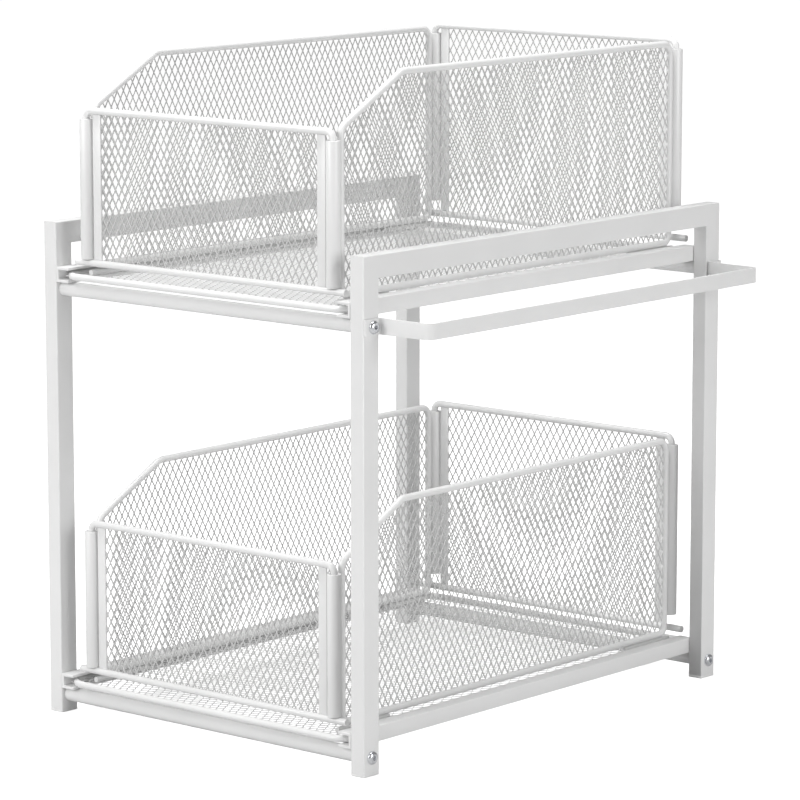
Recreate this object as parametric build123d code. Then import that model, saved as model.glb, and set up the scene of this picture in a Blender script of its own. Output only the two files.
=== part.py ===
from build123d import *
import math
import os

# Two-tier cabinet organiser with two sliding mesh baskets. Millimetres, +Z up, front towards -Y.
# The origin is on the floor, under the centre of the whole object with its hanging rail.
# Pieces are drawn about the middle of the frame and moved by origin_shift when they are saved.

# ---- side frames: an inverted U of rectangular tube on each side ----
frame_width = 300.0  # over the outer faces of the legs
frame_depth = 400.0  # front of the front legs to back of the back legs
frame_height = 356.0  # floor to the top of the top bars
tube_width = 12.0  # tube, across the unit
tube_depth = 16.0  # tube, in the plane of the side frame
tube_wall = 1.2
tube_edge_radius = 1.0
tier_pitch = 295.0  # lower basket up to the upper basket

# ---- foot caps ----
foot_height = 2.0  # what shows below a leg
spigot_gap = 2.5  # end of the spigot below the crossbar screws
spigot_clearance = 0.1

# ---- crossbars and their screws ----
crossbar_diameter = 10.5
crossbar_height = 13.1  # axis of a lower crossbar above the floor
screw_diameter = 5.0
screw_hole_clearance = 0.2
screw_thread_clearance = 0.05
screw_engagement = 11.0  # screw inside the end of the crossbar
head_diameter = 9.3
head_height = 2.7
head_flat_diameter = 5.4
head_rim_height = 0.9

# ---- channel rails, open towards the middle ----
rail_height = 11.0
rail_flange = 11.4
rail_sheet = 2.0
rail_end_gap = 12.0  # back end short of the back of the legs; the front end is flush

# ---- hanging rail on the right side ----
hanger_height = 11.0
hanger_thickness = 2.0
hanger_reach = 46.0  # outer face of the leg to outer face of the long run
hanger_tab = 15.0  # end of the tab to the middle of the arm
hanger_end_gap = 0.5  # end of the tab short of the leg's edge
hanger_corner_radius = 5.0  # at the middle of the bar
hanger_tab_radius = 2.5

# ---- basket tray ----
rim_diameter = 5.0
rim_corner_radius = 14.0  # at the wire's axis
rim_side_clearance = 0.5  # rim to the web of each rail
rim_lift = 0.3  # rim above the lower flange of the rails

# ---- basket side walls ----
hoop_diameter = 5.0
hoop_side_inset = 20.2  # plane of a side wall in from the rim's side
hoop_end_inset = 17.0  # axis of an upright wire in from the rim's end
hoop_height = 153.25  # top wire above the floor mesh
nose_drop = 34.0  # top of the front upright below the top wire
nose_run = 63.0  # length of the sloping front corner, front to back
hoop_bottom_radius = 5.5
hoop_top_radius = 8.0
nose_radius = 9.0
foot_wire_diameter = 4.0
foot_wire_length = 54.0
foot_wire_overhang = 5.0  # past the axis of the upright wires

# ---- basket front and back walls ----
sleeve_diameter = 10.0
sleeve_bore_clearance = 0.2
back_sleeve_gap = 7.6  # back sleeves above the back sill
front_sleeve_top_gap = 0.2  # sleeves below the bends of the top rods
back_sleeve_top_gap = 0.6
rod_diameter = 5.0
rod_bend_radius = 5.6
rod_seat_depth = 24.0  # bent ends inside the sleeves
front_rod_drop = 2.0  # axis below the top of the front upright
back_rod_lift = 2.0  # axis above the top wire of the side walls
sill_diameter = 5.0
sill_height = 9.65  # axis above the floor mesh
sill_overhang = 11.4  # past the planes of the side walls
strip_width = 7.5
strip_thickness = 1.4
strip_gap = 1.5  # outer edge of a strip to the sleeve

# ---- diamond mesh ----
mesh_thickness = 1.2
mesh_strand = 2.4
mesh_short_pitch = 50.0
mesh_long_pitch = 70.0
mesh_border = 1.4
weld_gap = 0.03  # a wire welded on a round wire

# ---- how finely thin wires are cut ----
wire_side_count = 16
bend_step = 30.0  # degrees of a wire's bend in one straight step

# ---- what follows from the sizes above ----
half_width = frame_width / 2
half_depth = frame_depth / 2
leg_inner_x = half_width - tube_width
spigot_length = crossbar_height - screw_diameter / 2 - spigot_gap - foot_height
crossbar_y = half_depth - tube_depth / 2
crossbar_levels = {"lower": crossbar_height, "upper": crossbar_height + tier_pitch}
tier_levels = {"lower": 0.0, "upper": tier_pitch}
rail_bottom = crossbar_height + crossbar_diameter / 2
rim_z = rail_bottom + rail_sheet + rim_lift + rim_diameter / 2
rim_x = leg_inner_x - rail_sheet - rim_side_clearance - rim_diameter / 2
rim_y = half_depth - rim_diameter / 2
floor_top = rim_z + mesh_thickness / 2
hoop_x = rim_x + rim_diameter / 2 - hoop_side_inset
hoop_y = half_depth - hoop_end_inset
hoop_bottom_z = floor_top + foot_wire_diameter + hoop_diameter / 2
hoop_top_z = floor_top + hoop_height
nose_z = hoop_top_z - nose_drop
wall_y = hoop_y + hoop_diameter / 2 + weld_gap + sleeve_diameter / 2
front_rod_z = nose_z - front_rod_drop
back_rod_z = hoop_top_z + back_rod_lift
front_sleeve_top = front_rod_z - rod_bend_radius - front_sleeve_top_gap
back_sleeve_top = back_rod_z - rod_bend_radius - back_sleeve_top_gap
sill_x = hoop_x + sill_overhang
sill_z = floor_top + sill_height
sill_top_z = sill_z + sill_diameter / 2
strip_x = hoop_x - sleeve_diameter / 2 - strip_gap
origin_shift = (hanger_reach - head_height) / 2


def save(name, shape):
    """Write one piece, or one set of equal pieces, to its own file."""
    export_step(Pos(-origin_shift, 0, 0) * shape, os.path.join("parts", name + ".step"))


def both_sides(shape):
    """A piece and its mirror image on the other side."""
    return shape + mirror(shape, Plane.YZ)


def along(path, section):
    """A section carried along the straight runs and round bends of a path, as one solid."""
    runs = []
    for edge in path.edges():
        level = abs((edge % 0).Z) < 0.5
        face = Plane(origin=edge @ 0, x_dir=(0, 0, 1) if level else (0, 1, 0), z_dir=edge % 0) * section
        if edge.geom_type == GeomType.LINE:
            runs.append(extrude(face, edge.length, dir=edge % 0))
        else:
            turn = Axis(edge.arc_center, (edge % 0).cross(edge % 1))
            runs.append(revolve(face, turn, math.degrees(edge.length / edge.radius)))
    return Part() + runs


def round_section(diameter):
    """Section of a thin wire or screw, with enough flats to look and feel round."""
    return RegularPolygon(diameter / 2, wire_side_count)


def bent_wire(points, radii, diameter, closed=False):
    """Wire along straight runs joined by tangent bends, each bend in a few short steps."""
    corners = []
    for edge in FilletPolyline(*points, radius=radii, close=closed).edges():
        turn = 0 if edge.geom_type == GeomType.LINE else math.degrees(edge.length / edge.radius)
        steps = max(1, round(turn / bend_step))
        corners += [edge @ (step / steps) for step in range(steps)]
    if not closed:
        corners.append(Vector(*points[-1]))
    path = Polyline(*corners, close=closed)
    start = Plane(origin=path @ 0, z_dir=path % 0)
    return sweep(start * round_section(diameter), path=path, transition=Transition.RIGHT)


def straight_wire(start, end, diameter):
    """Wire with square-cut ends."""
    return along(Line(start, end), round_section(diameter))


def round_tube(start, end, outer, inner):
    """Straight round tube."""
    return along(Line(start, end), Circle(outer / 2) - Circle(inner / 2))


# ---------------------------------------------------------------- frame


def screw_hole(thickness):
    """Clearance hole for a crossbar screw, along X through a piece this thick."""
    hole = extrude(round_section(screw_diameter + 2 * screw_hole_clearance), thickness, both=True)
    return Rot(0, 90, 0) * hole


def side_frame():
    """Right side frame: hollow tube, square mitred corners, screw holes through both walls."""
    leg_bottom = foot_height
    height = frame_height - leg_bottom
    side = Plane(origin=(0, 0, leg_bottom), x_dir=(0, 1, 0), z_dir=(1, 0, 0))
    low = (Align.CENTER, Align.MIN)
    outline = Rectangle(frame_depth, height, align=low)
    outline -= Rectangle(frame_depth - 2 * tube_depth, height - tube_depth, align=low)
    bore = Rectangle(frame_depth - 2 * tube_wall, height - tube_wall, align=low)
    bore -= Rectangle(
        frame_depth - 2 * (tube_depth - tube_wall), height - tube_depth + tube_wall, align=low
    )
    body = extrude(side * outline, tube_width / 2, both=True)
    long_edges = [
        edge
        for edge in body.edges()
        if abs(edge.tangent_at(0.5).X) < 0.5 and edge.center().Z > leg_bottom + tube_wall
    ]
    body = fillet(long_edges, tube_edge_radius)
    body -= extrude(side * bore, tube_width / 2 - tube_wall, both=True)
    for level in crossbar_levels.values():
        for y in (-crossbar_y, crossbar_y):
            body -= Pos(0, y, level) * screw_hole(tube_width)
    return Pos(half_width - tube_width / 2, 0, 0) * body


def foot_cap(y):
    """Right foot cap: a plate under the leg with a spigot up inside the tube."""
    plate = Box(tube_width, tube_depth, foot_height, align=(Align.CENTER, Align.CENTER, Align.MIN))
    plate = chamfer(plate.edges().filter_by(Axis.Z), tube_edge_radius / 2)
    shrink = 2 * (tube_wall + spigot_clearance)
    spigot = Box(
        tube_width - shrink,
        tube_depth - shrink,
        spigot_length,
        align=(Align.CENTER, Align.CENTER, Align.MIN),
    )
    return Pos(half_width - tube_width / 2, y, 0) * (plate + Pos(0, 0, foot_height) * spigot)


def crossbar(y, z):
    """Thick round tube between the inner faces of the legs, threaded for the screws at its ends."""
    bore = screw_diameter + 2 * screw_thread_clearance
    return round_tube((-leg_inner_x, y, z), (leg_inner_x, y, z), crossbar_diameter, bore)


def button_screw(y, z, seat_x):
    """Button-head screw from outside, with its head on the face at seat_x."""
    shank_length = seat_x - leg_inner_x + screw_engagement
    rim = extrude(round_section(head_diameter), head_rim_height)
    dome = loft(
        [
            Pos(0, 0, head_rim_height) * round_section(head_diameter),
            Pos(0, 0, head_height) * round_section(head_flat_diameter),
        ],
        ruled=True,
    )
    shank = extrude(round_section(screw_diameter), -shank_length)
    return Pos(seat_x, y, z) * Rot(0, 90, 0) * (rim + dome + shank)


def channel_rail(level):
    """Right C-channel: web on the legs, flanges towards the middle, resting on the crossbars."""
    flange = rail_flange - rail_sheet
    section = Rectangle(rail_flange, rail_height, align=(Align.MAX, Align.MIN))
    section -= Pos(-rail_sheet, rail_sheet) * Rectangle(
        flange, rail_height - 2 * rail_sheet, align=(Align.MAX, Align.MIN)
    )
    start = Plane(origin=(leg_inner_x, -half_depth, rail_bottom + level), x_dir=(1, 0, 0), z_dir=(0, -1, 0))
    return extrude(start * section, rail_end_gap - frame_depth)


def hanging_rail(level):
    """Flat bar bent to a U, with a tab at each end on the outer face of the right legs."""
    tab_x = half_width + hanger_thickness / 2
    run_x = half_width + hanger_reach - hanger_thickness / 2
    end_y = half_depth - hanger_end_gap
    arm_y = half_depth - hanger_tab
    path = FilletPolyline(
        (tab_x, -end_y, level),
        (tab_x, -arm_y, level),
        (run_x, -arm_y, level),
        (run_x, arm_y, level),
        (tab_x, arm_y, level),
        (tab_x, end_y, level),
        radius=[hanger_tab_radius, hanger_corner_radius, hanger_corner_radius, hanger_tab_radius],
    )
    bar = along(path, Rectangle(hanger_height, hanger_thickness))
    for y in (-crossbar_y, crossbar_y):
        bar -= Pos(tab_x, y, level) * screw_hole(hanger_thickness)
    return bar


# ---------------------------------------------------------------- baskets, at the lower level


def diamond_mesh(outline, across_x):
    """Sheet of diamond mesh: one face with staggered diamond gaps, open right through.

    The short diagonals run along X of the sketch if across_x, and the pitches are
    stretched a little so that whole diamonds fill the outline.
    """
    box = outline.bounding_box()
    pitches = (mesh_short_pitch, mesh_long_pitch) if across_x else (mesh_long_pitch, mesh_short_pitch)
    columns = max(1, round(box.size.X / pitches[0]))
    rows = max(1, round(box.size.Y / pitches[1]))
    step_x = box.size.X / columns
    step_y = box.size.Y / rows
    ratio = (step_x**2 + step_y**2) ** 0.5
    half_x = step_x / 2 - mesh_strand * ratio / step_y / 2
    half_y = step_y / 2 - mesh_strand * ratio / step_x / 2
    diamond = Polygon((half_x, 0), (0, half_y), (-half_x, 0), (0, -half_y), align=None)
    middle = box.center()
    places = []
    for column in range(2 * columns + 1):
        for row in range(2 * rows + 1):
            if (column + row) % 2:
                x = middle.X + (column - columns) * step_x / 2
                y = middle.Y + (row - rows) * step_y / 2
                places.append(Pos(x, y))
    gaps = Sketch() + [place * diamond for place in places]
    window = offset(outline, -mesh_border)
    return outline - (gaps & window)


def tray_rim():
    """Closed hoop of wire round the tray, running in the two rails."""
    corners = [(-rim_x, -rim_y), (rim_x, -rim_y), (rim_x, rim_y), (-rim_x, rim_y)]
    points = [(0, -rim_y, rim_z)] + [(x, y, rim_z) for x, y in corners[1:] + corners[:1]]
    return bent_wire(points, [0] + [rim_corner_radius] * 4, rim_diameter, closed=True)


def floor_mesh():
    """Mesh floor inside the rim, at the middle of its wire, with its corners clear of the bends."""
    inset = rim_diameter / 2 + weld_gap
    outline = RectangleRounded(2 * (rim_x - inset), 2 * (rim_y - inset), rim_corner_radius)
    sheet = extrude(diamond_mesh(outline, across_x=True), mesh_thickness / 2, both=True)
    return Pos(0, 0, rim_z) * sheet


def foot_wires():
    """Short wires on the floor mesh that carry the side walls."""
    z = floor_top + foot_wire_diameter / 2
    outer = hoop_y + foot_wire_overhang
    inner = outer - foot_wire_length
    front = straight_wire((hoop_x, -outer, z), (hoop_x, -inner, z), foot_wire_diameter)
    back = straight_wire((hoop_x, inner, z), (hoop_x, outer, z), foot_wire_diameter)
    return both_sides(front + back)


def hoop_points():
    """Corners of the side wall hoop, Y and Z, from the front bottom corner round to the back."""
    return [
        (-hoop_y, hoop_bottom_z),
        (hoop_y, hoop_bottom_z),
        (hoop_y, hoop_top_z),
        (-hoop_y + nose_run, hoop_top_z),
        (-hoop_y, nose_z),
    ]


hoop_radii = [hoop_bottom_radius, hoop_bottom_radius, hoop_top_radius, nose_radius, nose_radius]


def side_hoop():
    """Right side wall hoop: closed, with the sloping front corner."""
    middle = [(hoop_x, 0, hoop_bottom_z)]
    points = [(hoop_x, y, z) for y, z in hoop_points()]
    return bent_wire(middle + points[1:] + points[:1], [0] + hoop_radii[1:] + hoop_radii[:1], hoop_diameter, True)


def side_mesh():
    """Mesh inside the right side wall hoop, in its plane."""
    path = FilletPolyline(*hoop_points(), radius=hoop_radii, close=True)
    outline = offset(make_face(path), -(hoop_diameter / 2 + weld_gap))
    plane = Plane(origin=(hoop_x, 0, 0), x_dir=(0, 1, 0), z_dir=(1, 0, 0))
    return extrude(plane * diamond_mesh(outline, across_x=True), mesh_thickness / 2, both=True)


def sleeve(y, bottom, top):
    """Right corner sleeve, upright, taking a bent end of a wall's top rod."""
    bore = rod_diameter + 2 * sleeve_bore_clearance
    section = round_section(sleeve_diameter) - round_section(bore)
    return along(Line((hoop_x, y, bottom), (hoop_x, y, top)), section)


def top_rod(y, z, sleeve_top):
    """Top wire of the front or back wall, with both ends bent down into the sleeves."""
    end_z = sleeve_top - rod_seat_depth
    points = [(-hoop_x, y, end_z), (-hoop_x, y, z), (hoop_x, y, z), (hoop_x, y, end_z)]
    return bent_wire(points, [rod_bend_radius] * 2, rod_diameter)


def sill(y):
    """Straight bottom wire of the front or back wall."""
    return straight_wire((-sill_x, y, sill_z), (sill_x, y, sill_z), sill_diameter)


def wall_rise(rod_z):
    """Height of a wall's mesh and strips, from the sill to the top rod."""
    return rod_z - rod_diameter / 2 - sill_top_z


def binding_strips(y, rod_z):
    """Flat strips that bind the two upright edges of the wall mesh."""
    size = (strip_width, strip_thickness, wall_rise(rod_z))
    strip = Box(*size, align=(Align.MAX, Align.CENTER, Align.MIN))
    return both_sides(Pos(strip_x, y, sill_top_z) * strip)


def wall_mesh(y, rod_z):
    """Mesh of the front or back wall, between the strips, the sill and the top rod."""
    width = 2 * (strip_x - strip_width)
    outline = Rectangle(width, wall_rise(rod_z), align=(Align.CENTER, Align.MIN))
    plane = Plane(origin=(0, y, sill_top_z), x_dir=(1, 0, 0), z_dir=(0, -1, 0))
    return extrude(plane * diamond_mesh(outline, across_x=True), mesh_thickness / 2, both=True)


def basket():
    """Every piece of one basket at the lower level, by name."""
    front_sleeve = sleeve(-wall_y, sill_top_z, front_sleeve_top)
    back_sleeve = sleeve(wall_y, sill_top_z + back_sleeve_gap, back_sleeve_top)
    hoop = side_hoop()
    mesh = side_mesh()
    return {
        "tray_rim": tray_rim(),
        "floor_mesh": floor_mesh(),
        "foot_wires": foot_wires(),
        "left_side_hoop": mirror(hoop, Plane.YZ),
        "right_side_hoop": hoop,
        "left_side_mesh": mirror(mesh, Plane.YZ),
        "right_side_mesh": mesh,
        "front_left_sleeve": mirror(front_sleeve, Plane.YZ),
        "front_right_sleeve": front_sleeve,
        "back_left_sleeve": mirror(back_sleeve, Plane.YZ),
        "back_right_sleeve": back_sleeve,
        "front_top_rod": top_rod(-wall_y, front_rod_z, front_sleeve_top),
        "back_top_rod": top_rod(wall_y, back_rod_z, back_sleeve_top),
        "front_sill": sill(-wall_y),
        "back_sill": sill(wall_y),
        "front_strips": binding_strips(-wall_y, front_rod_z),
        "back_strips": binding_strips(wall_y, back_rod_z),
        "front_mesh": wall_mesh(-wall_y, front_rod_z),
        "back_mesh": wall_mesh(wall_y, back_rod_z),
    }


def frame_pieces():
    """Every piece of the standing frame, by name."""
    right_frame = side_frame()
    pieces = {"left_side_frame": mirror(right_frame, Plane.YZ), "right_side_frame": right_frame}
    for place, y in (("front", -crossbar_y), ("back", crossbar_y)):
        foot = foot_cap(y)
        pieces[place + "_left_foot"] = mirror(foot, Plane.YZ)
        pieces[place + "_right_foot"] = foot
        for tier, z in crossbar_levels.items():
            pieces[tier + "_" + place + "_crossbar"] = crossbar(y, z)
    for tier, level in tier_levels.items():
        rail = channel_rail(level)
        pieces[tier + "_left_rail"] = mirror(rail, Plane.YZ)
        pieces[tier + "_right_rail"] = rail
    upper = crossbar_levels["upper"]
    pieces["hanging_rail"] = hanging_rail(upper)
    spots = [(y, z) for z in crossbar_levels.values() for y in (-crossbar_y, crossbar_y)]
    screws = {spot: button_screw(*spot, half_width) for spot in spots}
    pieces["left_screws"] = Part() + [mirror(screw, Plane.YZ) for screw in screws.values()]
    pieces["right_screws"] = Part() + [screws[spot] for spot in spots if spot[1] != upper]
    pieces["hanging_rail_screws"] = Part() + [
        button_screw(y, upper, half_width + hanger_thickness) for y in (-crossbar_y, crossbar_y)
    ]
    return pieces


os.makedirs("parts", exist_ok=True)
for name, piece in frame_pieces().items():
    save(name, piece)
for name, piece in basket().items():
    for tier, level in tier_levels.items():
        save(tier + "_" + name, Pos(0, 0, level) * piece)
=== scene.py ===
import logging
import math
from collections.abc import Iterable, Sequence
from dataclasses import dataclass, field
from enum import Enum
from typing import Protocol

import bmesh
import bpy
from bmesh.types import BMEdge, BMesh, BMVert
from mathutils import Matrix, Vector


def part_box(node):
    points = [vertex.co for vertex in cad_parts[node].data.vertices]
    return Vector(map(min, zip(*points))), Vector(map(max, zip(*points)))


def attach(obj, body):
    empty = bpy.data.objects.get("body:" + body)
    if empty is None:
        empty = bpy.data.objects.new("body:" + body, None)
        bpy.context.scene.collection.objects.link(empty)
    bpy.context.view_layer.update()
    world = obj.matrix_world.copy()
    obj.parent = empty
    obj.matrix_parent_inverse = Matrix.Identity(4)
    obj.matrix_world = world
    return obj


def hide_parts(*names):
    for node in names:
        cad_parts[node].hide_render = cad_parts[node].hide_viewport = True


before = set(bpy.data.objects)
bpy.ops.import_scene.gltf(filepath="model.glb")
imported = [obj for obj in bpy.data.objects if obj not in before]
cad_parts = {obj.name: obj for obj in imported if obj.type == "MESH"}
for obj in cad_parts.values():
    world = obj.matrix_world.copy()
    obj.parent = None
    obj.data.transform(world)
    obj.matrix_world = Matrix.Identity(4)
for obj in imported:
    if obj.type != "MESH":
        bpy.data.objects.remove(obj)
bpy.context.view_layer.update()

log = logging.getLogger("cabinet_organiser")

MM = 0.001
EASE = 0.35 * MM  # rounding on the sharp edges of sheet metal, tube ends and moulded caps
CREASE = math.radians(35.0)  # edges that turn more than this are shaded sharp
CUT_RIM = math.radians(60.0)  # edges that turn more than this are the rims of a cut end
Colour = tuple[float, float, float]


class Tier(Enum):
    """Which of the two baskets."""

    LOWER = "lower"
    UPPER = "upper"


class Side(Enum):
    """Left or right, seen from the front."""

    LEFT = "left"
    RIGHT = "right"


class End(Enum):
    """Front or back wall of a basket."""

    FRONT = "front"
    BACK = "back"


# ------------------------------------------------------------------ finishes


class Finish(Protocol):
    """Anything that can be turned into a material."""

    name: str

    def material(self) -> bpy.types.Material:
        """The finish as a new node material."""


class Shading:
    """A material's node tree, with short ways to add and join nodes."""

    def __init__(self, name: str) -> None:
        """Start an empty material.

        Args:
            name: Name of the material.
        """
        self.material = bpy.data.materials.new(name)
        self.material.use_nodes = True
        self.tree = self.material.node_tree
        self.surface = self.tree.nodes["Principled BSDF"]
        self.place = self.add("ShaderNodeTexCoord").outputs["Object"]

    def add(self, kind: str, **values: object) -> bpy.types.Node:
        """Add a node.

        Args:
            kind: Blender's name for the node type.
            **values: Properties of the node.

        Returns:
            The new node.
        """
        node = self.tree.nodes.new(kind)
        for key, value in values.items():
            setattr(node, key, value)
        return node

    def join(self, source: bpy.types.NodeSocket, target: bpy.types.NodeSocket) -> None:
        """Join an output socket to an input socket."""
        self.tree.links.new(source, target)

    def clouds(self, size: float, detail: float = 2.0, stretch: Colour = (1, 1, 1)) -> bpy.types.NodeSocket:
        """Noise of a given real size.

        Args:
            size: Size of one cloud in metres.
            detail: Octaves of finer noise.
            stretch: How much longer the clouds are along each axis.

        Returns:
            The noise's value socket.
        """
        mapping = self.add("ShaderNodeMapping")
        mapping.inputs["Scale"].default_value = tuple(1 / s for s in stretch)
        self.join(self.place, mapping.inputs["Vector"])
        noise = self.add("ShaderNodeTexNoise")
        noise.inputs["Scale"].default_value = 1 / size
        noise.inputs["Detail"].default_value = detail
        self.join(mapping.outputs["Vector"], noise.inputs["Vector"])
        return noise.outputs["Fac"]

    def spread(
        self, source: bpy.types.NodeSocket, low: float, high: float, span: tuple[float, float] = (0.3, 0.7)
    ) -> bpy.types.NodeSocket:
        """Map a noise value onto a range.

        Args:
            source: Value socket to map.
            low: Result at the low end.
            high: Result at the high end.
            span: Noise values that give low and high.

        Returns:
            The mapped value socket.
        """
        node = self.add("ShaderNodeMapRange")
        node.inputs["From Min"].default_value, node.inputs["From Max"].default_value = span
        node.inputs["To Min"].default_value = low
        node.inputs["To Max"].default_value = high
        self.join(source, node.inputs["Value"])
        return node.outputs["Result"]

    def tint(self, source: bpy.types.NodeSocket, dark: Colour, light: Colour) -> None:
        """Colour the surface between two tints by a value socket."""
        mix = self.add("ShaderNodeMix", data_type="RGBA")
        mix.inputs["A"].default_value = (*dark, 1)
        mix.inputs["B"].default_value = (*light, 1)
        self.join(source, mix.inputs["Factor"])
        self.join(mix.outputs["Result"], self.surface.inputs["Base Color"])

    def bump(self, layers: Sequence[tuple[bpy.types.NodeSocket, float]]) -> None:
        """Stack bump layers on the surface.

        Args:
            layers: Height sockets, each with its height in metres.
        """
        normal = None
        for height, distance in layers:
            node = self.add("ShaderNodeBump")
            node.inputs["Distance"].default_value = distance
            self.join(height, node.inputs["Height"])
            if normal is not None:
                self.join(normal, node.inputs["Normal"])
            normal = node.outputs["Normal"]
        self.join(normal, self.surface.inputs["Normal"])


@dataclass(frozen=True)
class PowderCoat:
    """Baked powder paint: satin, faintly uneven, with a fine orange peel."""

    name: str
    light: Colour
    dark: Colour
    roughness: tuple[float, float] = (0.3, 0.42)
    peel: float = 1.3 * MM
    peel_height: float = 0.02 * MM
    patch: float = 60 * MM  # size of the patches of slightly different tint
    haze: float = 9 * MM  # size of the patches of slightly different gloss
    wave: float = 7.0  # size of the slow waves under the orange peel, as a multiple of it
    wave_height: float = 1.5  # their height, as a multiple of the peel's
    lacquer: float = 0.15
    lacquer_roughness: float = 0.25

    def material(self) -> bpy.types.Material:
        """The paint as a new node material."""
        paint = Shading(self.name)
        paint.tint(paint.spread(paint.clouds(self.patch, 3.0), 0, 1), self.dark, self.light)
        rough = paint.spread(paint.clouds(self.haze, 3.0), *self.roughness)
        paint.join(rough, paint.surface.inputs["Roughness"])
        paint.bump(
            [
                (paint.clouds(self.peel, 1.0), self.peel_height),
                (paint.clouds(self.peel * self.wave, 1.0), self.peel_height * self.wave_height),
            ]
        )
        paint.surface.inputs["IOR"].default_value = 1.5
        paint.surface.inputs["Coat Weight"].default_value = self.lacquer
        paint.surface.inputs["Coat Roughness"].default_value = self.lacquer_roughness
        return paint.material


@dataclass(frozen=True)
class BrightSteel:
    """Plated steel of the screws, with faint turning marks and handling haze."""

    name: str
    light: Colour
    dark: Colour
    roughness: tuple[float, float] = (0.12, 0.26)
    patch: float = 3 * MM
    haze: float = 1.6 * MM
    mark: float = 0.5 * MM
    mark_stretch: Colour = (8, 1, 1)
    mark_height: float = 0.008 * MM

    def material(self) -> bpy.types.Material:
        """The plating as a new node material."""
        steel = Shading(self.name)
        steel.surface.inputs["Metallic"].default_value = 1.0
        steel.tint(steel.spread(steel.clouds(self.patch, 2.0), 0, 1), self.dark, self.light)
        haze = steel.spread(steel.clouds(self.haze, 3.0), *self.roughness)
        steel.join(haze, steel.surface.inputs["Roughness"])
        steel.bump([(steel.clouds(self.mark, 1.0, self.mark_stretch), self.mark_height)])
        return steel.material


@dataclass(frozen=True)
class MouldedPlastic:
    """Matt moulded plastic of the foot caps, with a fine spark-eroded grain."""

    name: str
    light: Colour
    dark: Colour
    roughness: tuple[float, float] = (0.5, 0.66)
    patch: float = 5 * MM
    haze: float = 2 * MM
    grain: float = 0.35 * MM
    grain_height: float = 0.02 * MM

    def material(self) -> bpy.types.Material:
        """The plastic as a new node material."""
        plastic = Shading(self.name)
        plastic.tint(plastic.spread(plastic.clouds(self.patch, 2.0), 0, 1), self.dark, self.light)
        rough = plastic.spread(plastic.clouds(self.haze, 2.0), *self.roughness)
        plastic.join(rough, plastic.surface.inputs["Roughness"])
        plastic.bump([(plastic.clouds(self.grain, 2.0), self.grain_height)])
        return plastic.material


@dataclass(frozen=True)
class StudioFloor:
    """Pale studio floor that is burnt out to white where it is seen, and throws little light back."""

    name: str
    colour: Colour
    seen_glow: float
    roughness: float = 0.9
    sheen: float = 0.1

    def material(self) -> bpy.types.Material:
        """The floor as a new node material."""
        floor = Shading(self.name)
        floor.surface.inputs["Base Color"].default_value = (*self.colour, 1)
        floor.surface.inputs["Roughness"].default_value = self.roughness
        floor.surface.inputs["Specular IOR Level"].default_value = self.sheen
        floor.surface.inputs["Emission Color"].default_value = (1, 1, 1, 1)
        seen = floor.add("ShaderNodeLightPath").outputs["Is Camera Ray"]
        glow = floor.spread(seen, 0.0, self.seen_glow, (0.0, 1.0))
        floor.join(glow, floor.surface.inputs["Emission Strength"])
        return floor.material


WHITE_PAINT = PowderCoat("white powder coat", (0.79, 0.79, 0.788), (0.76, 0.76, 0.758))
# Darker copy of the white powder coat for the wall meshes: painted shade, standing in for the shade that
# falls on the mesh strands inside the baskets.
SHADED_MESH_PAINT = PowderCoat(
    "white powder coat darkened as painted shade on the mesh",
    (0.58, 0.58, 0.578),
    (0.53, 0.53, 0.528),
    roughness=(0.34, 0.48),
    peel=0.8 * MM,
    peel_height=0.015 * MM,
)
SCREW_STEEL = BrightSteel("plated screw steel", (0.8, 0.81, 0.83), (0.66, 0.67, 0.7))
FOOT_PLASTIC = MouldedPlastic("white foot plastic", (0.82, 0.82, 0.815), (0.78, 0.78, 0.775))


# ------------------------------------------------------------------ making pieces


@dataclass(frozen=True)
class Placing:
    """Where a new piece belongs in the frame, and the nodes that it stands for."""

    body: str
    replaced: tuple[str, ...]
    slot: str = "white_coat"


def set_down(name: str, shape: BMesh, finish: Finish, placing: Placing) -> None:
    """Turn a finished bmesh into a piece of the object.

    Args:
        name: Name of the piece.
        shape: The mesh, in metres in the shared frame. It is freed.
        finish: What the piece is finished with. Its material is made once.
        placing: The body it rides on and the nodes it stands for.
    """
    mesh = bpy.data.meshes.new(name)
    shape.to_mesh(mesh)
    shape.free()
    mesh.materials.append(bpy.data.materials.get(finish.name) or finish.material())
    mesh.shade_smooth()
    mesh.set_sharp_from_angle(angle=CREASE)
    piece = bpy.data.objects.new(name, mesh)
    bpy.context.scene.collection.objects.link(piece)
    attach(piece, placing.body)
    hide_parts(*placing.replaced)
    log.info("%s: %d faces, for %s", name, len(mesh.polygons), ", ".join(placing.replaced))


def join_shapes(shapes: Iterable[BMesh]) -> BMesh:
    """Put several bmeshes into one.

    Args:
        shapes: The bmeshes, which are freed.

    Returns:
        One bmesh with all of them.
    """
    whole = bmesh.new()
    for shape in shapes:
        part = bpy.data.meshes.new("part")
        shape.to_mesh(part)
        shape.free()
        whole.from_mesh(part)
        bpy.data.meshes.remove(part)
    return whole


def extrude_ring(shape: BMesh, ring: list[BMEdge]) -> tuple[list[BMVert], list[BMEdge]]:
    """Extrude an open ring of edges in place.

    Args:
        shape: The mesh that has the ring.
        ring: The edges of the ring.

    Returns:
        The new ring's corners, still where the old ones are, and its edges.
    """
    made = bmesh.ops.extrude_edge_only(shape, edges=ring)["geom"]
    verts = [item for item in made if isinstance(item, BMVert)]
    return verts, [edge for edge in made if isinstance(edge, BMEdge) and all(v in verts for v in edge.verts)]


def bevel_rims(shape: BMesh, offset: float) -> None:
    """Ease the rims of every cut end by a small rounding.

    Args:
        shape: The mesh, whose other edges turn less than a cut end does.
        offset: Width of the rounding.
    """
    rims = [edge for edge in shape.edges if edge.calc_face_angle(0) > CUT_RIM]
    bmesh.ops.bevel(
        shape, geom=rims, offset=offset, segments=2, affect="EDGES", profile=0.5, material=-1
    )


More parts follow.
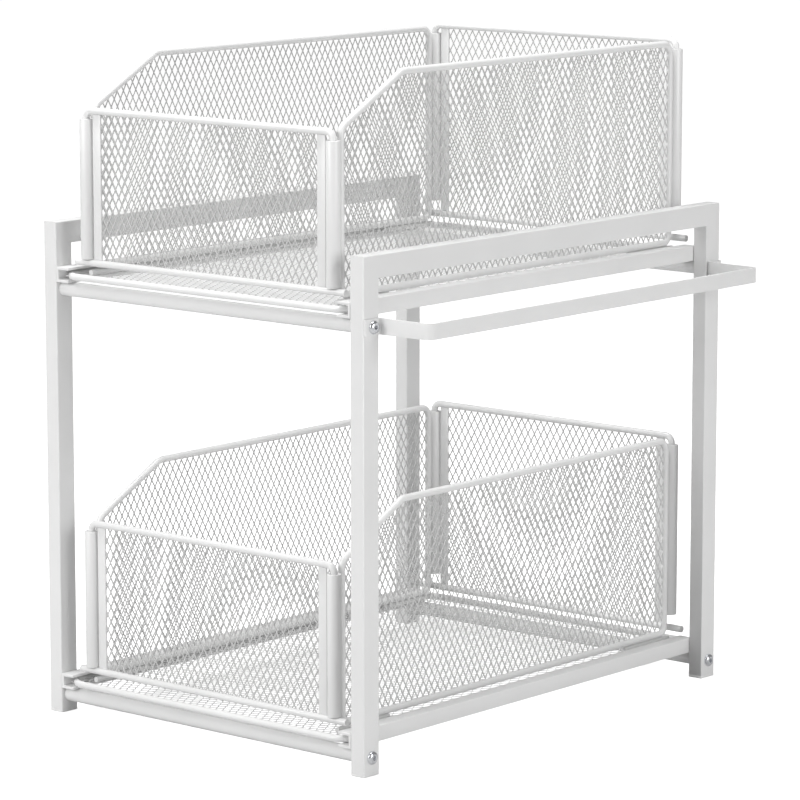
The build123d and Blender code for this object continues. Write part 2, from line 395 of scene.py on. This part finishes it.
def welded_copy(node: str, ease: float = 0.0, segments: int = 2, least: float = 0.0) -> BMesh:
    """Copy a CAD node's mesh with its triangles welded together and its sharp edges eased.

    Args:
        node: Name of the CAD node.
        ease: Width of the rounding on sharp edges in metres, or 0 for none.
        segments: Segments across the rounding.
        least: Shorter edges than this stay sharp.

    Returns:
        The welded copy.
    """
    weld = 1e-6
    flat = math.radians(0.5)
    sharp_turn = math.radians(40)
    shape = bmesh.new()
    shape.from_mesh(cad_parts[node].data)
    bmesh.ops.remove_doubles(shape, verts=shape.verts, dist=weld)
    bmesh.ops.dissolve_limit(
        shape, angle_limit=flat, verts=shape.verts, edges=shape.edges, use_dissolve_boundaries=False
    )
    if ease:
        sharp = [
            edge
            for edge in shape.edges
            if len(edge.link_faces) == 2
            and edge.calc_face_angle(0) > sharp_turn
            and edge.calc_length() > least
        ]
        bmesh.ops.bevel(
            shape,
            geom=sharp,
            offset=ease,
            segments=segments,
            affect="EDGES",
            profile=0.5,
            material=-1,
            clamp_overlap=True,
        )
    bmesh.ops.recalc_face_normals(shape, faces=shape.faces)
    return shape


@dataclass(frozen=True)
class RoundWire:
    """Round wire that is bent cold round formers."""

    diameter: float
    sides: int = 20
    bend_step: float = math.radians(9)
    end_ease: float = 0.3 * MM
    weld: float = 1e-7

    def _advance(self, shape: BMesh, ring: list[BMEdge], shift: Vector) -> list[BMEdge]:
        """Extrude the open end of the wire by a straight shift and give its new ring."""
        verts, grown = extrude_ring(shape, ring)
        bmesh.ops.translate(shape, vec=shift, verts=verts)
        return grown

    def bend(self, corners: Sequence[tuple[Vector, float]], closed: bool = False) -> BMesh:
        """Bend the wire along corners.

        Args:
            corners: Points, each with the radius of the bend there, at the wire's axis.
                The ends of an open wire take no bend.
            closed: Whether the wire closes on itself.

        Returns:
            The wire's mesh.
        """
        points = [Vector(point) for point, _ in corners]
        radii = [radius for _, radius in corners]
        if closed:
            middle = (points[-1] + points[0]) / 2
            points, radii = [middle, *points, middle], [0.0, *radii, 0.0]
        shape = bmesh.new()
        heading = (points[1] - points[0]).normalized()
        pose = Matrix.Translation(points[0]) @ heading.to_track_quat("Z", "Y").to_matrix().to_4x4()
        bmesh.ops.create_circle(
            shape, cap_ends=not closed, segments=self.sides, radius=self.diameter / 2, matrix=pose
        )
        ring = list(shape.edges)
        place = points[0]
        for index in range(1, len(points) - 1):
            inward = (points[index] - points[index - 1]).normalized()
            outward = (points[index + 1] - points[index]).normalized()
            turn = inward.angle(outward)
            reach = radii[index] * math.tan(turn / 2)
            start = points[index] - inward * reach
            ring = self._advance(shape, ring, start - place)
            centre = start + (outward - inward * inward.dot(outward)).normalized() * radii[index]
            spun = bmesh.ops.spin(
                shape,
                geom=ring,
                cent=centre,
                axis=inward.cross(outward).normalized(),
                angle=turn,
                steps=max(2, round(turn / self.bend_step)),
            )["geom_last"]
            ring = [item for item in spun if isinstance(item, BMEdge)]
            place = points[index] + outward * reach
        ring = self._advance(shape, ring, points[-1] - place)
        if closed:
            bmesh.ops.remove_doubles(shape, verts=shape.verts, dist=self.weld)
        else:
            bmesh.ops.holes_fill(shape, edges=ring, sides=self.sides)
            bevel_rims(shape, self.end_ease)
        bmesh.ops.recalc_face_normals(shape, faces=shape.faces)
        return shape

    def straight(self, start: Vector, end: Vector) -> BMesh:
        """A straight length of the wire with eased cut ends."""
        return self.bend([(start, 0.0), (end, 0.0)])


@dataclass(frozen=True)
class RoundTube:
    """Short upright round tube, open at both ends."""

    outer: float
    inner: float
    sides: int = 32
    lip: float = EASE

    def upright(self, foot: Vector, length: float) -> BMesh:
        """Stand the tube on a point.

        Args:
            foot: Middle of its lower end.
            length: Length of the tube.

        Returns:
            The tube's mesh.
        """
        shape = bmesh.new()
        radius = self.outer / 2
        bmesh.ops.create_circle(shape, segments=self.sides, radius=radius, matrix=Matrix.Translation(foot))
        first = list(shape.edges)
        ring = first
        for height, width in ((length, radius), (length, self.inner / 2), (0.0, self.inner / 2)):
            verts, ring = extrude_ring(shape, ring)
            for vert in verts:
                spoke = Vector((vert.co.x - foot.x, vert.co.y - foot.y)).normalized() * width
                vert.co = Vector((foot.x + spoke.x, foot.y + spoke.y, foot.z + height))
        bmesh.ops.bridge_loops(shape, edges=first + ring)
        bmesh.ops.recalc_face_normals(shape, faces=shape.faces)
        bevel_rims(shape, self.lip)
        return shape


@dataclass(frozen=True)
class DiamondMesh:
    """Fine diamond mesh sheet: strands with upright diamond gaps."""

    short: float = 6.25 * MM
    long: float = 10.8 * MM
    strand: float = 0.8 * MM
    thickness: float = 0.5 * MM
    least_room: float = 0.8  # a cell stays closed whose inner radius is under this many strands
    snap: float = 1e-8

    def sheet(self, width: float, height: float, cuts: Sequence[tuple[Vector, Vector]] = ()) -> BMesh:
        """Cut a sheet to size, flat in X and Y about the origin.

        Args:
            width: Size along X, the way of the short diagonals.
            height: Size along Y.
            cuts: More cuts, each a point and the direction that is cut away.

        Returns:
            The sheet's mesh.
        """
        cells = 2 * math.ceil((width / self.short + height / self.long) / 2 + 1)
        shape = bmesh.new()
        bmesh.ops.create_grid(shape, x_segments=cells, y_segments=cells, size=0.5)
        span = max(vert.co.x for vert in shape.verts) * 2
        bmesh.ops.scale(shape, vec=(cells / span, cells / span, 1), verts=shape.verts)
        bmesh.ops.rotate(shape, matrix=Matrix.Rotation(math.pi / 4, 3, "Z"), verts=shape.verts)
        root = math.sqrt(2)
        bmesh.ops.scale(shape, vec=(self.short / root, self.long / root, 1), verts=shape.verts)
        edges = [
            (Vector((width / 2, 0, 0)), Vector((1, 0, 0))),
            (Vector((-width / 2, 0, 0)), Vector((-1, 0, 0))),
            (Vector((0, height / 2, 0)), Vector((0, 1, 0))),
            (Vector((0, -height / 2, 0)), Vector((0, -1, 0))),
        ]
        for point, away in (*edges, *cuts):
            everything = [*shape.verts, *shape.edges, *shape.faces]
            bmesh.ops.bisect_plane(
                shape, geom=everything, dist=self.snap, plane_co=point, plane_no=away, clear_outer=True
            )
        return self._pierce(shape)

    def _pierce(self, shape: BMesh) -> BMesh:
        """Open each cell that has room for a gap, and give the strands their thickness."""
        least = self.strand * self.least_room
        roomy = [face for face in shape.faces if 2 * face.calc_area() / face.calc_perimeter() > least]
        bmesh.ops.inset_individual(shape, faces=roomy, thickness=self.strand / 2, use_even_offset=True)
        bmesh.ops.delete(shape, geom=roomy, context="FACES")
        bmesh.ops.recalc_face_normals(shape, faces=shape.faces)
        bmesh.ops.solidify(shape, geom=shape.faces, thickness=self.thickness)
        middle = sum(extreme(vert.co.z for vert in shape.verts) for extreme in (min, max)) / 2
        bmesh.ops.translate(shape, vec=(0, 0, -middle), verts=shape.verts)
        bmesh.ops.recalc_face_normals(shape, faces=shape.faces)
        return shape


def stand_up(shape: BMesh, across: Vector, up: Vector, origin: Vector) -> BMesh:
    """Move a flat sheet from X and Y into its place.

    Args:
        shape: The sheet.
        across: Where the sheet's X goes.
        up: Where the sheet's Y goes.
        origin: Where the sheet's middle goes.

    Returns:
        The same sheet.
    """
    turn = Matrix((across, up, across.cross(up))).transposed().to_4x4()
    bmesh.ops.transform(shape, matrix=Matrix.Translation(origin) @ turn, verts=shape.verts)
    return shape


# ------------------------------------------------------------------ the baskets


@dataclass
class Tray:
    """Bottom of a basket: the rim that runs in the rails, the mesh floor and the foot wires."""

    tier: Tier
    rim_wire: RoundWire = RoundWire(5.0 * MM, 22)
    foot_wire: RoundWire = RoundWire(4.0 * MM, 16)
    foot_length: float = 54.0 * MM
    corner_radius: float = 14.0 * MM
    tuck: float = 1.0 * MM  # mesh edge short of the rim's axis
    mesh: DiamondMesh = DiamondMesh(strand=0.6 * MM, thickness=0.4 * MM)

    def node(self, name: str) -> str:
        """Name of a node of this tray."""
        return f"{self.tier.value}_{name}"

    def build(self, body: str) -> None:
        """Make the tray's pieces.

        Args:
            body: The body that they ride on.
        """
        low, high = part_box(self.node("tray_rim"))
        half = self.rim_wire.diameter / 2
        z = (low.z + high.z) / 2
        left, right = low.x + half, high.x - half
        front, back = low.y + half, high.y - half
        corners = [Vector((x, y, z)) for x, y in ((right, front), (right, back), (left, back), (left, front))]
        rim = self.rim_wire.bend([(corner, self.corner_radius) for corner in corners], closed=True)
        set_down(self.node("rim_wire"), rim, WHITE_PAINT, Placing(body, (self.node("tray_rim"),)))
        sheet = self.mesh.sheet(right - left - 2 * self.tuck, back - front - 2 * self.tuck)
        middle = Vector(((left + right) / 2, (front + back) / 2, z))
        stand_up(sheet, Vector((1, 0, 0)), Vector((0, 1, 0)), middle)
        set_down(self.node("floor_sheet"), sheet, WHITE_PAINT, Placing(body, (self.node("floor_mesh"),)))
        self._foot_wires(body)

    def _foot_wires(self, body: str) -> None:
        """Make the four short wires under the side walls."""
        low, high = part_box(self.node("foot_wires"))
        half = self.foot_wire.diameter / 2
        z = (low.z + high.z) / 2
        wires = []
        for x in (low.x + half, high.x - half):
            for start, end in ((low.y, low.y + self.foot_length), (high.y - self.foot_length, high.y)):
                wires.append(self.foot_wire.straight(Vector((x, start, z)), Vector((x, end, z))))
        placing = Placing(body, (self.node("foot_wires"),))
        set_down(self.node("short_foot_wires"), join_shapes(wires), WHITE_PAINT, placing)


@dataclass
class SideWall:
    """Side wall of a basket: a closed hoop with a sloping front corner, and its mesh."""

    tier: Tier
    side: Side
    wire: RoundWire = RoundWire(5.0 * MM, 22)
    nose_run: float = 63.0 * MM
    nose_drop: float = 34.0 * MM
    bottom_radius: float = 5.5 * MM
    top_radius: float = 8.0 * MM
    nose_radius: float = 9.0 * MM
    tuck: float = 1.0 * MM
    mesh: DiamondMesh = DiamondMesh()

    def node(self, name: str) -> str:
        """Name of a node of this wall."""
        return f"{self.tier.value}_{self.side.value}_side_{name}"

    def build(self, body: str) -> None:
        """Make the wall's hoop and mesh.

        Args:
            body: The body that they ride on.
        """
        low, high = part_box(self.node("hoop"))
        half = self.wire.diameter / 2
        x = (low.x + high.x) / 2
        front, back = low.y + half, high.y - half
        bottom, top = low.z + half, high.z - half
        corners = [
            (Vector((x, back, bottom)), self.bottom_radius),
            (Vector((x, back, top)), self.top_radius),
            (Vector((x, front + self.nose_run, top)), self.nose_radius),
            (Vector((x, front, top - self.nose_drop)), self.nose_radius),
            (Vector((x, front, bottom)), self.bottom_radius),
        ]
        hoop = self.wire.bend(corners, closed=True)
        set_down(self.node("hoop_wire"), hoop, WHITE_PAINT, Placing(body, (self.node("hoop"),)))
        middle = Vector((x, (front + back) / 2, (bottom + top) / 2))
        slope = Vector((self.nose_run, self.nose_drop, 0)).normalized()
        away = Vector((-slope.y, slope.x, 0))
        on_slope = Vector((front + self.nose_run - middle.y, top - middle.z, 0)) - away * self.tuck
        length, height = back - front - 2 * self.tuck, top - bottom - 2 * self.tuck
        sheet = self.mesh.sheet(length, height, [(on_slope, away)])
        stand_up(sheet, Vector((0, 1, 0)), Vector((0, 0, 1)), middle)
        # the side wall mesh takes the darker copy of the white coat, as painted shade
        set_down(self.node("sheet"), sheet, SHADED_MESH_PAINT, Placing(body, (self.node("mesh"),)))


@dataclass
class EndWall:
    """Front or back wall of a basket: top rod, sill, strips, mesh and the two sleeves."""

    tier: Tier
    end: End
    rod: RoundWire = RoundWire(5.0 * MM, 22)
    bend_radius: float = 5.6 * MM
    sleeve: RoundTube = RoundTube(10.0 * MM, 5.4 * MM)
    strip_width: float = 7.5 * MM
    tuck: float = 1.0 * MM
    mesh: DiamondMesh = DiamondMesh()

    def node(self, name: str) -> str:
        """Name of a node of this wall."""
        return f"{self.tier.value}_{self.end.value}_{name}"

    def build(self, body: str) -> None:
        """Make the wall's pieces.

        Args:
            body: The body that they ride on.
        """
        low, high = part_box(self.node("top_rod"))
        half = self.rod.diameter / 2
        y = (low.y + high.y) / 2
        left, right, top = low.x + half, high.x - half, high.z - half
        rod = self.rod.bend(
            [
                (Vector((left, y, low.z)), 0.0),
                (Vector((left, y, top)), self.bend_radius),
                (Vector((right, y, top)), self.bend_radius),
                (Vector((right, y, low.z)), 0.0),
            ]
        )
        set_down(self.node("top_wire"), rod, WHITE_PAINT, Placing(body, (self.node("top_rod"),)))
        sill_low, sill_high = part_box(self.node("sill"))
        sill_z = (sill_low.z + sill_high.z) / 2
        sill = self.rod.straight(Vector((sill_low.x, y, sill_z)), Vector((sill_high.x, y, sill_z)))
        set_down(self.node("sill_wire"), sill, WHITE_PAINT, Placing(body, (self.node("sill"),)))
        strips = welded_copy(self.node("strips"), EASE)
        set_down(self.node("binding_strips"), strips, WHITE_PAINT, Placing(body, (self.node("strips"),)))
        self._mesh(body, y, sill_z, top)
        for side in Side:
            node = f"{self.tier.value}_{self.end.value}_{side.value}_sleeve"
            foot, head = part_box(node)
            place = Vector(((foot.x + head.x) / 2, y, foot.z))
            tube = self.sleeve.upright(place, head.z - foot.z)
            set_down(f"{node}_tube", tube, WHITE_PAINT, Placing(body, (node,)))

    def _mesh(self, body: str, y: float, sill_z: float, top: float) -> None:
        """Make the wall's mesh, tucked under the strips, the sill and the top rod."""
        low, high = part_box(self.node("strips"))
        width = high.x - low.x - self.strip_width
        height = top - sill_z - 2 * self.tuck
        sheet = self.mesh.sheet(width, height)
        middle = Vector(((low.x + high.x) / 2, y, (sill_z + top) / 2))
        stand_up(sheet, Vector((1, 0, 0)), Vector((0, 0, 1)), middle)
        # the end wall mesh takes the darker copy of the white coat, as painted shade
        set_down(self.node("sheet"), sheet, SHADED_MESH_PAINT, Placing(body, (self.node("mesh"),)))


@dataclass
class Basket:
    """One sliding basket."""

    tier: Tier

    def build(self) -> None:
        """Make every piece of the basket."""
        body = f"{self.tier.value}_basket"
        Tray(self.tier).build(body)
        for side in Side:
            SideWall(self.tier, side).build(body)
        for end in End:
            EndWall(self.tier, end).build(body)


# ------------------------------------------------------------------ the frame


@dataclass
class ButtonScrew:
    """Button-head screw with a hexagon socket, pointing along X."""

    head: float = 9.3 * MM
    height: float = 2.7 * MM
    rim: float = 0.5 * MM
    flat: float = 4.6 * MM
    socket: float = 3.3 * MM  # across the corners
    socket_depth: float = 1.7 * MM
    socket_drop: float = 0.25 * MM  # edge of the socket below the top of the head
    shank: float = 5.0 * MM
    sides: int = 36
    dome_steps: int = 6

    def build(self, seat: Vector, tip: float, outward: float) -> BMesh:
        """Make one screw.

        Args:
            seat: Middle of the head's seat.
            tip: X of the shank's end.
            outward: 1 if the head points to +X, -1 if to -X.

        Returns:
            The screw's mesh, drawn along Z and laid along X.
        """
        shape = bmesh.new()
        bmesh.ops.create_circle(shape, segments=self.sides, radius=self.shank / 2, cap_ends=True)
        bmesh.ops.translate(shape, vec=(0, 0, -abs(seat.x - tip)), verts=shape.verts)
        ring = list(shape.edges)
        profile = [(0.0, self.shank / 2), (0.0, self.head / 2), (self.rim, self.head / 2)]
        for step in range(1, self.dome_steps + 1):
            angle = math.pi / 2 * step / self.dome_steps
            radius = self.flat / 2 + (self.head - self.flat) / 2 * math.cos(angle)
            profile.append((self.rim + (self.height - self.rim) * math.sin(angle), radius))
        for height, radius in profile:
            ring = self._grow(shape, ring, height, radius)
        self._socket(shape, ring)
        bmesh.ops.recalc_face_normals(shape, faces=shape.faces)
        pose = Matrix.Translation(seat) @ Matrix.Rotation(outward * math.pi / 2, 4, "Y")
        bmesh.ops.transform(shape, matrix=pose, verts=shape.verts)
        return shape

    def _grow(self, shape: BMesh, ring: list[BMEdge], height: float, radius: float) -> list[BMEdge]:
        """Extrude the open ring to a height and a radius, and give the new ring."""
        verts, grown = extrude_ring(shape, ring)
        for vert in verts:
            spoke = Vector((vert.co.x, vert.co.y)).normalized() * radius
            vert.co = Vector((spoke.x, spoke.y, height))
        return grown

    def _socket(self, shape: BMesh, ring: list[BMEdge]) -> None:
        """Sink a hexagon socket inside the open ring at the top of the head."""
        known = set(shape.verts)
        mouth = Matrix.Translation((0, 0, self.height - self.socket_drop))
        bmesh.ops.create_circle(shape, segments=self.sides, radius=1.0, matrix=mouth)
        hexagon = [edge for edge in shape.edges if not known & set(edge.verts)]
        sixth = math.pi / 3
        for vert in {vert for edge in hexagon for vert in edge.verts}:
            off_corner = math.atan2(vert.co.y, vert.co.x) % sixth - sixth / 2
            reach = self.socket / 2 * math.cos(sixth / 2) / math.cos(off_corner)
            vert.co.x, vert.co.y = vert.co.x * reach, vert.co.y * reach
        bmesh.ops.bridge_loops(shape, edges=ring + hexagon)
        verts, floor = extrude_ring(shape, hexagon)
        bmesh.ops.translate(shape, vec=(0, 0, -self.socket_depth), verts=verts)
        bmesh.ops.holes_fill(shape, edges=floor, sides=0)


@dataclass
class StandingFrame:
    """The frame that stays put: side frames, crossbars, rails, feet and screws."""

    body: str = "frame"
    screw: ButtonScrew = field(default_factory=ButtonScrew)
    bar_least: float = 8 * MM  # the short edges round the flat bar's bends stay sharp

    def build(self) -> None:
        """Make every piece of the frame."""
        for side in Side:
            self._dress(f"{side.value}_side_frame", "bent_tube_frame")
            for tier in Tier:
                self._dress(f"{tier.value}_{side.value}_rail", "channel", EASE)
            for end in End:
                node = f"{end.value}_{side.value}_foot"
                shape = welded_copy(node, EASE)
                placing = Placing(self.body, (node,), "foot_plastic")
                set_down(f"{node}_cap", shape, FOOT_PLASTIC, placing)
        for tier in Tier:
            for end in End:
                self._dress(f"{tier.value}_{end.value}_crossbar", "tube")
        self._dress("hanging_rail", "bar", EASE, self.bar_least)
        self._screws()

    def _dress(self, node: str, suffix: str, ease: float = 0.0, least: float = 0.0) -> None:
        """Replace a CAD node by its welded copy in white paint.

        Args:
            node: Name of the CAD node.
            suffix: Last part of the piece's name.
            ease: Width of the rounding on sharp edges, or 0 for none.
            least: Shorter edges than this stay sharp.
        """
        shape = welded_copy(node, ease, 3, least)
        set_down(f"{node}_{suffix}", shape, WHITE_PAINT, Placing(self.body, (node,)))

    def _screws(self) -> None:
        """Make the crossbar screws, one piece for each node of screws."""
        levels = [sum(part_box(f"{tier.value}_front_crossbar")[i].z for i in (0, 1)) / 2 for tier in Tier]
        depths = [sum(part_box(f"lower_{end.value}_crossbar")[i].y for i in (0, 1)) / 2 for end in End]
        groups = {
            "left_screws": (-1, levels),
            "right_screws": (1, levels[:1]),
            "hanging_rail_screws": (1, levels[1:]),
        }
        for node, (outward, heights) in groups.items():
            low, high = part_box(node)
            outer, tip = (high.x, low.x) if outward > 0 else (low.x, high.x)
            seat = outer - outward * self.screw.height
            screws = [self.screw.build(Vector((seat, y, z)), tip, outward) for y in depths for z in heights]
            placing = Placing(self.body, (node,), "screw_steel")
            set_down(f"{node}_button_heads", join_shapes(screws), SCREW_STEEL, placing)


# ------------------------------------------------------------------ the studio


@dataclass(frozen=True)
class SoftLight:
    """Square soft light that faces the object."""

    name: str
    place: Vector
    size: float
    power: float

    def hang(self, aim: Vector) -> None:
        """Hang the light.

        Args:
            aim: Point that it faces.
        """
        data = bpy.data.lights.new(self.name, "AREA")
        data.shape = "SQUARE"
        data.size = self.size
        data.energy = self.power
        light = bpy.data.objects.new(self.name, data)
        light.location = self.place
        light.rotation_euler = (aim - self.place).to_track_quat("-Z", "Y").to_euler()
        bpy.context.scene.collection.objects.link(light)


@dataclass
class Studio:
    """Camera, soft light and a plain pale floor."""

    camera_place: Vector = Vector((1.91740, -2.26187, 0.71672))
    camera_turn: float = math.radians(40.437)
    camera_pitch: float = math.radians(9.501)
    lens: float = 186.93
    sensor: float = 36.0
    aim: Vector = Vector((0, 0, 0.24))
    lights: tuple[SoftLight, ...] = (
        SoftLight("key", Vector((-0.6, -2.3, 1.1)), 1.1, 30.0),
        SoftLight("fill", Vector((2.3, -0.1, 0.8)), 1.2, 24.0),
        SoftLight("top", Vector((-0.3, -0.2, 2.4)), 1.3, 52.0),
    )
    floor_size: float = 60.0
    floor: StudioFloor = StudioFloor("studio floor", (0.55, 0.55, 0.55), 0.86)
    sky: float = 0.28
    seen_sky: float = 1.0

    def build(self) -> None:
        """Make the camera, the lights, the world and the floor."""
        bpy.context.scene.view_settings.view_transform = "Standard"
        self._camera()
        self._world()
        self._floor()
        for light in self.lights:
            light.hang(self.aim)

    def _camera(self) -> None:
        """Set the camera where the photograph was taken from."""
        data = bpy.data.cameras.new("camera")
        data.lens = self.lens
        data.sensor_width = self.sensor
        camera = bpy.data.objects.new("camera", data)
        camera.location = self.camera_place
        camera.rotation_euler = (math.pi / 2 - self.camera_pitch, 0.0, self.camera_turn)
        bpy.context.scene.collection.objects.link(camera)
        bpy.context.scene.camera = camera

    def _world(self) -> None:
        """Light the object dimly from all round, and show the camera white surroundings."""
        world = bpy.data.worlds.new("white room")
        world.use_nodes = True
        tree = world.node_tree
        back = tree.nodes["Background"]
        back.inputs["Color"].default_value = (1, 1, 1, 1)
        seen = tree.nodes.new("ShaderNodeLightPath").outputs["Is Camera Ray"]
        strength = tree.nodes.new("ShaderNodeMapRange")
        strength.inputs["To Min"].default_value = self.sky
        strength.inputs["To Max"].default_value = self.seen_sky
        tree.links.new(seen, strength.inputs["Value"])
        tree.links.new(strength.outputs["Result"], back.inputs["Strength"])
        bpy.context.scene.world = world

    def _floor(self) -> None:
        """Lay the floor under the feet."""
        shape = bmesh.new()
        bmesh.ops.create_grid(shape, x_segments=1, y_segments=1, size=self.floor_size / 2)
        mesh = bpy.data.meshes.new("studio_floor")
        shape.to_mesh(mesh)
        shape.free()
        mesh.materials.append(self.floor.material())
        floor = bpy.data.objects.new("studio_floor", mesh)
        bpy.context.scene.collection.objects.link(floor)


def main() -> None:
    """Build the organiser and its studio, in order."""
    logging.basicConfig(level=logging.INFO, format="%(name)s: %(message)s")
    Studio().build()
    StandingFrame().build()
    for tier in Tier:
        Basket(tier).build()


if __name__ == "__main__":
    main()
